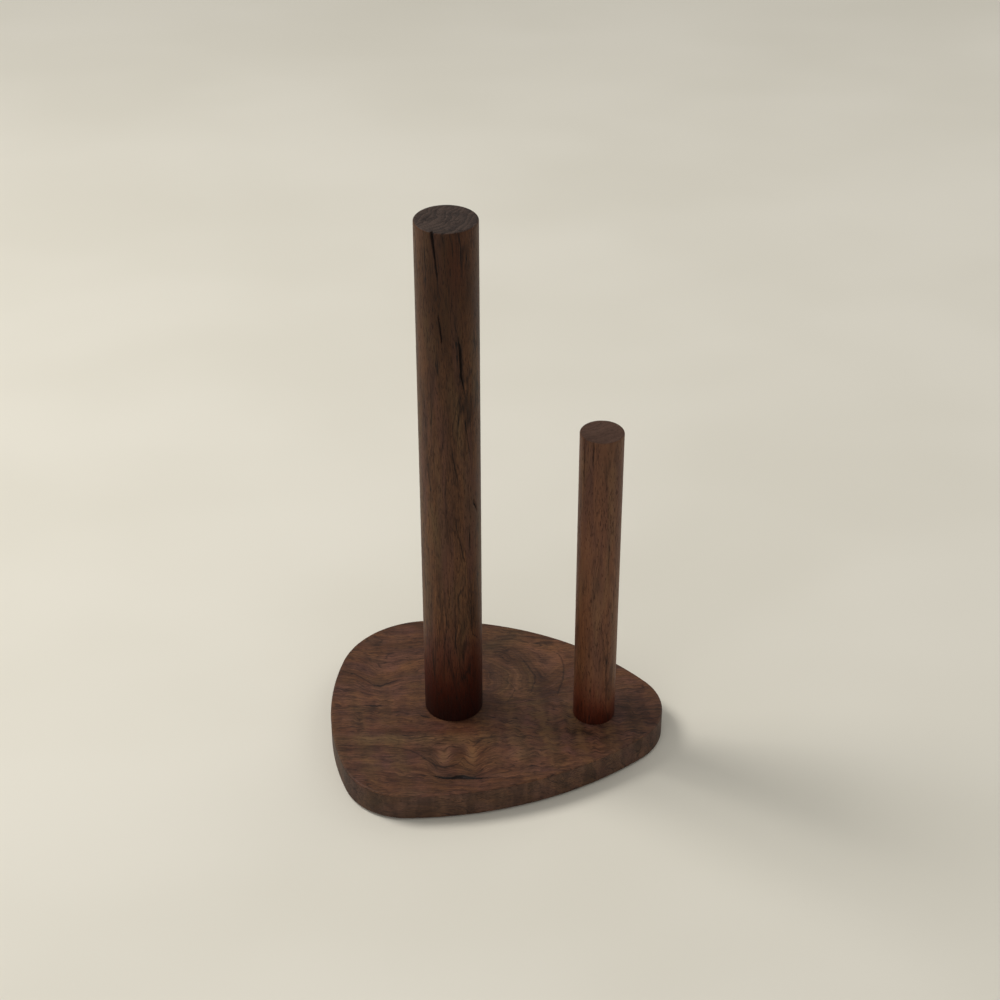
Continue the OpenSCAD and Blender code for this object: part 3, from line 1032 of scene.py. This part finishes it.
def roll_post():
    """The tall post. The dense rows that would be above its top are left out."""
    low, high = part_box("roll_post")
    start, end = high.z - 1.5 * MM, low.z + 1 * MM
    heights = spaced(start, end, BASE_TOP + CRACKED_FROM, BASE_TOP + CRACKED_TO, -1.6 * MM, -0.8 * MM)
    heights = heights[heights <= start + 0.1 * MM]
    angles = post_angles(2.2, 0.8, -32, 66)
    return post("roll_post", ROLL_LOOK.cracks, angles, heights, 1.0 * MM)


def guide_post():
    """The short post."""
    low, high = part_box("guide_post")
    heights = np.arange(high.z - 1.5 * MM, low.z + 1 * MM, -1.2 * MM)
    angles = post_angles(2.4, 1.1, -60, 40)
    return post("guide_post", GUIDE_LOOK.cracks, angles, heights, 0.9 * MM)


# ---- hardware

# A machine thread's depth is this part of its pitch, and its profile has so many rows in a pitch
THREAD_DEPTH = 0.55
THREAD_ROWS = 8
# In millimetres: the shank's radius, the socket across its flats and the pitch
SCREWS = (("roll_post_screw", 3.0, 4.0, 1.0), ("guide_post_screw", 2.5, 3.0, 0.8))
# In millimetres: the mouth across its flats, the bore's radius and its pitch
INSERTS = (("roll_post_insert", 6.0, 3.0, 1.0), ("guide_post_insert", 5.0, 2.5, 0.8))
WOOD_PITCH = 2.5 * MM
WOOD_THREAD_ROWS = 14
SOCKET_DEPTH = 2.2 * MM
MOUTH_DEPTH = 4 * MM


def screw(node, shank, across_flats, pitch):
    """A countersunk socket screw with its head at the bottom and a V thread above the board."""
    at = centre(node)
    low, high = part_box(node)
    head = radius(node)
    angles = even_angles(ROUND_COLUMNS)
    socket = hexagon(angles, across_flats)
    bottom = low.z + SOCKET_DEPTH
    cone = low.z + 0.3 * MM
    profile = [(socket * 0.3, bottom + 0.3 * MM), (socket * 0.92, bottom), (socket, bottom - 0.15 * MM)]
    profile += [(socket, low.z + 0.25 * MM), (socket + 0.25 * MM, low.z)]
    profile += [(head * 0.75, low.z), (head - 0.15 * MM, low.z)]
    profile += [(head, low.z + 0.15 * MM), (head, cone)]
    profile += [(head - k * (head - shank), cone + k * (head - shank)) for k in (0.33, 0.66, 0.95)]
    profile += [(shank, cone + (head - shank) * 1.1), (shank, BASE_TOP)]
    start, end = BASE_TOP, high.z - 0.8 * MM
    core = shank - THREAD_DEPTH * pitch
    for z in np.arange(start + 0.05 * MM, end, pitch / THREAD_ROWS):
        profile.append((thread(angles, z, core, shank * 0.985, pitch, start, end + pitch), z))
    profile += [(core, end + 0.2 * MM), (core - 0.6 * MM, high.z), (core * 0.4, high.z)]
    return solid(node + "_steel", lathe(profile, angles, at))


def insert(node, across_flats, bore, pitch):
    """A threaded brass insert: a coarse wood thread outside, a machine thread inside, a hex mouth below."""
    at = centre(node)
    low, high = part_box(node)
    r = radius(node)
    angles = even_angles(ROUND_COLUMNS)
    mouth = hexagon(angles, across_flats)
    barrel = r * 0.80
    rows = [(r - 0.9 * MM, low.z), (r - 0.45 * MM, low.z + 0.4 * MM)]
    for z in np.arange(low.z + 0.6 * MM, high.z - 1.0 * MM, WOOD_PITCH / WOOD_THREAD_ROWS):
        rows.append((thread(angles, z, barrel, r, WOOD_PITCH, low.z, high.z), z))
    rows += [(barrel, high.z - 0.8 * MM), (barrel - 0.7 * MM, high.z)]
    root = bore + 0.02 * MM
    rows += [(root + 0.25 * MM, high.z), (root, high.z - 0.3 * MM)]
    top_of_mouth = low.z + MOUTH_DEPTH
    core = bore - THREAD_DEPTH * pitch
    for z in np.arange(high.z - 0.4 * MM, top_of_mouth + 0.3 * MM, -pitch / THREAD_ROWS):
        rows.append((thread(angles, z, core, bore, pitch, BASE_TOP, high.z + 9 * MM) + 0.03 * MM, z))
    rows += [(mouth * 0.96, top_of_mouth), (mouth, top_of_mouth - 0.2 * MM), (mouth, low.z + 0.2 * MM)]
    rows += [(mouth + 0.2 * MM, low.z)]
    shell = Shell()
    shell.skin(lathe(rows, angles, at), closed=True)
    return shell.make(node + "_brass")


def dowel(node, flutes):
    """A fluted beech dowel pin with chamfered ends."""
    at = centre(node)
    low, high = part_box(node)
    r = radius(node)
    angles = even_angles(flutes * 8)
    cut = np.clip(np.cos(angles * flutes), 0, 1) ** 2 * 0.09 * r
    chamfer = 0.8 * MM
    profile = [(r * 0.4, high.z), (r - chamfer, high.z), (r - chamfer * 0.12 - cut, high.z - chamfer)]
    for z in np.linspace(high.z - 1.2 * MM, low.z + 1.2 * MM, 12):
        profile.append((r - cut, z))
    profile += [(r - chamfer * 0.12 - cut, low.z + chamfer), (r - chamfer, low.z), (r * 0.4, low.z)]
    return solid(node + "_beech", lathe(profile, angles, at))


def foot(node):
    """A moulded rubber foot with a rounded rim, and a ring and a dished middle in the face it rests on."""
    at = centre(node)
    low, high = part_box(node)
    r = radius(node)
    rim = 0.7 * MM
    profile = [(r * 0.4, high.z), (r - 0.2 * MM, high.z), (r, high.z - 0.2 * MM)]
    for a in arc(7, 90, 0):
        profile.append((r - rim * (1 - math.sin(a)), low.z + rim * (1 - math.cos(a))))
    groove_at, half, deep = r * 0.66, 0.35 * MM, 0.22 * MM
    for a in arc(7, 0, 180):
        profile.append((groove_at + half * math.cos(a), low.z + deep * math.sin(a)))
    profile += [(r * 0.42, low.z), (r * 0.36, low.z + 0.08 * MM)]
    profile += [(r * 0.2, low.z + 0.2 * MM), (r * 0.05, low.z + 0.24 * MM)]
    return solid(node + "_rubber", lathe(profile, even_angles(96), at))


# ---- assembly

LENS = 75.12
EYE = Vector((26.5, -907.9, 746.8)) * MM
LOOK_DOWN, LEAN = math.radians(33.88), math.radians(0.055)
FLOOR_HALF = 15.0


def add(piece, node, material):
    """Puts a piece in the place of its CAD node."""
    piece.data.materials.clear()
    piece.data.materials.append(material)
    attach(piece, "root")
    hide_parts(node)


def camera():
    """A long lens that looks down on the holder from the front, placed from the tall post's foot."""
    data = bpy.data.cameras.new("camera")
    data.lens = LENS
    data.clip_start, data.clip_end = 0.05, 50
    eye = bpy.data.objects.new("camera", data)
    eye.location = Vector((ROLL.x, ROLL.y, BASE_TOP)) + EYE
    eye.rotation_euler = (TURN / 4 - LOOK_DOWN, LEAN, 0)
    bpy.context.scene.collection.objects.link(eye)
    bpy.context.scene.camera = eye


def floor():
    """The worktop that the holder stands on."""
    half = FLOOR_HALF
    corners = [(-half, -half, 0), (half, -half, 0), (half, half, 0), (-half, half, 0)]
    mesh = bpy.data.meshes.new("table")
    mesh.from_pydata(corners, [], [(0, 1, 2, 3)])
    top = bpy.data.objects.new("table", mesh)
    bpy.context.scene.collection.objects.link(top)
    mesh.materials.append(table_material())


def area_light(name, place, size, power, colour):
    """A soft round light that is aimed at the board."""
    data = bpy.data.lights.new(name, "AREA")
    data.shape = "DISK"
    data.size = size
    data.energy = power
    data.color = colour
    light = bpy.data.objects.new(name, data)
    light.location = place
    aim = centre("base") - light.location
    light.rotation_euler = aim.to_track_quat("-Z", "Y").to_euler()
    bpy.context.scene.collection.objects.link(light)


def lighting():
    """Plain soft studio light: a key light from the left, two weak ones, and an even pale sky."""
    area_light("key", (-1.05, 0.35, 1.45), 0.7, 18.5, (1.0, 0.97, 0.93))
    area_light("rim", (1.2, 0.9, 1.0), 1.4, 5, (1.0, 0.98, 0.96))
    area_light("front", (-0.5, -1.5, 1.1), 1.4, 6, (1.0, 0.98, 0.96))
    world = bpy.data.worlds.new("studio")
    world.use_nodes = True
    sky = world.node_tree.nodes["Background"]
    sky.inputs["Color"].default_value = (0.98, 0.97, 0.94, 1)
    sky.inputs["Strength"].default_value = 0.38
    bpy.context.scene.world = world
    bpy.context.scene.view_settings.view_transform = "Standard"


def assemble():
    add(base(), "base", base_material())
    add(roll_post(), "roll_post", post_material("roll_post", ROLL_LOOK))
    add(guide_post(), "guide_post", post_material("guide_post", GUIDE_LOOK))
    steel, brass, beech, rubber = steel_material(), brass_material(), beech_material(), rubber_material()
    for node, *sizes in SCREWS:
        add(screw(node, *(size * MM for size in sizes)), node, steel)
    for node, *sizes in INSERTS:
        add(insert(node, *(size * MM for size in sizes)), node, brass)
    for node, flutes in (("roll_post_dowel", 12), ("guide_post_dowel", 10)):
        add(dowel(node, flutes), node, beech)
    for node in FEET:
        add(foot(node), node, rubber)


camera()
floor()
lighting()
assemble()
